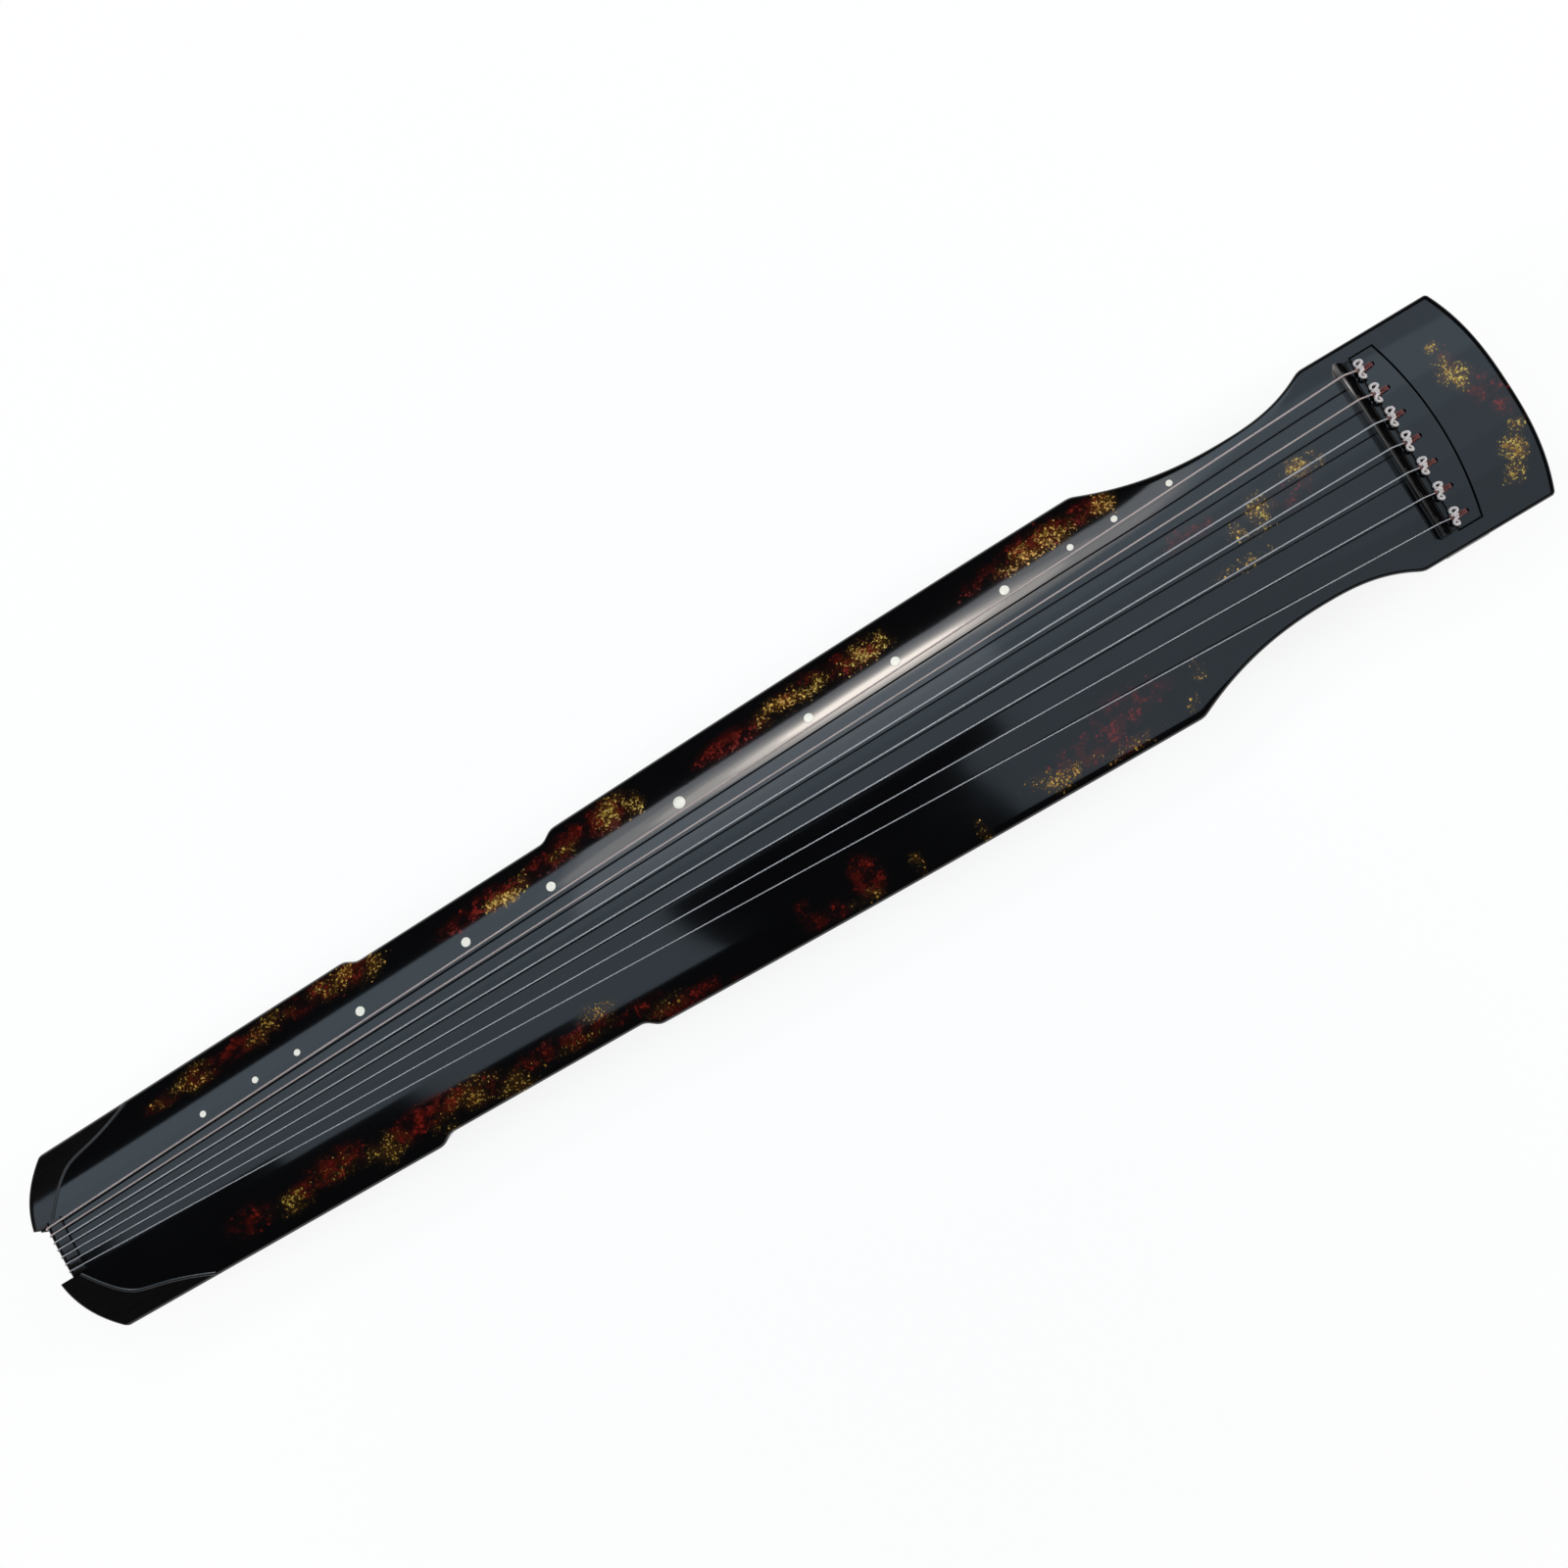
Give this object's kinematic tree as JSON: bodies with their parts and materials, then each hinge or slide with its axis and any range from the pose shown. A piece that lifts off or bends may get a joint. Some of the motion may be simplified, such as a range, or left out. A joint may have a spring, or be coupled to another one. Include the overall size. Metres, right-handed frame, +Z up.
{
  "type": "guqin",
  "caption": "Lacquered seven-string zither with an arched hollow body, rounded neck and shallow waist, inlaid studs, a tall bridge and turning pegs under its head.",
  "frame": {"origin": "under the middle of the body's length and width, on the surface that the goose feet and the peg guards stand on", "axes": "+X along the strings towards the head with the bridge, +Y towards the side of the thickest string and the studs, away from the player, +Z up"},
  "size_m": [1.2337, 0.188, 0.0913],
  "materials": {
    "black_lacquer": "polished black raw lacquer over a bone-ash ground, with sprinkled gold and red specks",
    "dark_hardwood": "rosewood or ebony, oiled and polished",
    "peg_hardwood": "turned rosewood, polished",
    "inner_timber": "bare planed timber",
    "red_silk_cord": "twisted two-ply silk cord",
    "white_cord": "fine twisted cord",
    "copper_wound_string": "steel core with a fine copper-coloured wrap",
    "silver_string": "steel core with a fine nylon wrap, silvery",
    "mother_of_pearl": "polished white shell, flush in the lacquer"
  },
  "bodies": {
    "root": {"face_board": "black_lacquer", "bottom_board": "black_lacquer", "bridge": "dark_hardwood", "string_hole_plate": "black_lacquer", "dragon_gum": "dark_hardwood", "lower_gum": "dark_hardwood", "peg_pool_plate": "dark_hardwood", "tail_horn_far": "dark_hardwood", "peg_guard_far": "dark_hardwood", "goose_foot_far": "dark_hardwood", "foot_socket_far": "inner_timber", "tail_horn_near": "dark_hardwood", "peg_guard_near": "dark_hardwood", "goose_foot_near": "dark_hardwood", "foot_socket_near": "inner_timber", "heaven_post": "inner_timber", "earth_post": "inner_timber", "tuning_cord_1": "red_silk_cord", "tuning_cord_2": "red_silk_cord", "tuning_cord_3": "red_silk_cord", "tuning_cord_4": "red_silk_cord", "tuning_cord_5": "red_silk_cord", "tuning_cord_6": "red_silk_cord", "tuning_cord_7": "red_silk_cord", "fly_head_knot_1": "white_cord", "fly_head_knot_2": "white_cord", "fly_head_knot_3": "white_cord", "fly_head_knot_4": "white_cord", "fly_head_knot_5": "white_cord", "fly_head_knot_6": "white_cord", "fly_head_knot_7": "white_cord", "string_1": "copper_wound_string", "string_2": "copper_wound_string", "string_3": "silver_string", "string_4": "silver_string", "string_5": "silver_string", "string_6": "silver_string", "string_7": "silver_string", "hui_1": "mother_of_pearl", "hui_2": "mother_of_pearl", "hui_3": "mother_of_pearl", "hui_4": "mother_of_pearl", "hui_5": "mother_of_pearl", "hui_6": "mother_of_pearl", "hui_7": "mother_of_pearl", "hui_8": "mother_of_pearl", "hui_9": "mother_of_pearl", "hui_10": "mother_of_pearl", "hui_11": "mother_of_pearl", "hui_12": "mother_of_pearl", "hui_13": "mother_of_pearl"},
    "peg_1": {"tuning_peg_1": "peg_hardwood"},
    "peg_2": {"tuning_peg_2": "peg_hardwood"},
    "peg_3": {"tuning_peg_3": "peg_hardwood"},
    "peg_4": {"tuning_peg_4": "peg_hardwood"},
    "peg_5": {"tuning_peg_5": "peg_hardwood"},
    "peg_6": {"tuning_peg_6": "peg_hardwood"},
    "peg_7": {"tuning_peg_7": "peg_hardwood"}
  },
  "joints": [
    {"name": "peg_turn_1", "type": "hinge", "parent": "root", "child": "peg_1", "pos_m": [0.545, 0.061, 0.0484], "axis": [0, 0, 1], "continuous": true},
    {"name": "peg_turn_2", "type": "hinge", "parent": "root", "child": "peg_2", "pos_m": [0.545, 0.04017, 0.0484], "axis": [0, 0, 1], "continuous": true},
    {"name": "peg_turn_3", "type": "hinge", "parent": "root", "child": "peg_3", "pos_m": [0.545, 0.01933, 0.0484], "axis": [0, 0, 1], "continuous": true},
    {"name": "peg_turn_4", "type": "hinge", "parent": "root", "child": "peg_4", "pos_m": [0.545, -0.0015, 0.0484], "axis": [0, 0, 1], "continuous": true},
    {"name": "peg_turn_5", "type": "hinge", "parent": "root", "child": "peg_5", "pos_m": [0.545, -0.02233, 0.0484], "axis": [0, 0, 1], "continuous": true},
    {"name": "peg_turn_6", "type": "hinge", "parent": "root", "child": "peg_6", "pos_m": [0.545, -0.04317, 0.0484], "axis": [0, 0, 1], "continuous": true},
    {"name": "peg_turn_7", "type": "hinge", "parent": "root", "child": "peg_7", "pos_m": [0.545, -0.064, 0.0484], "axis": [0, 0, 1], "continuous": true}
  ]
}
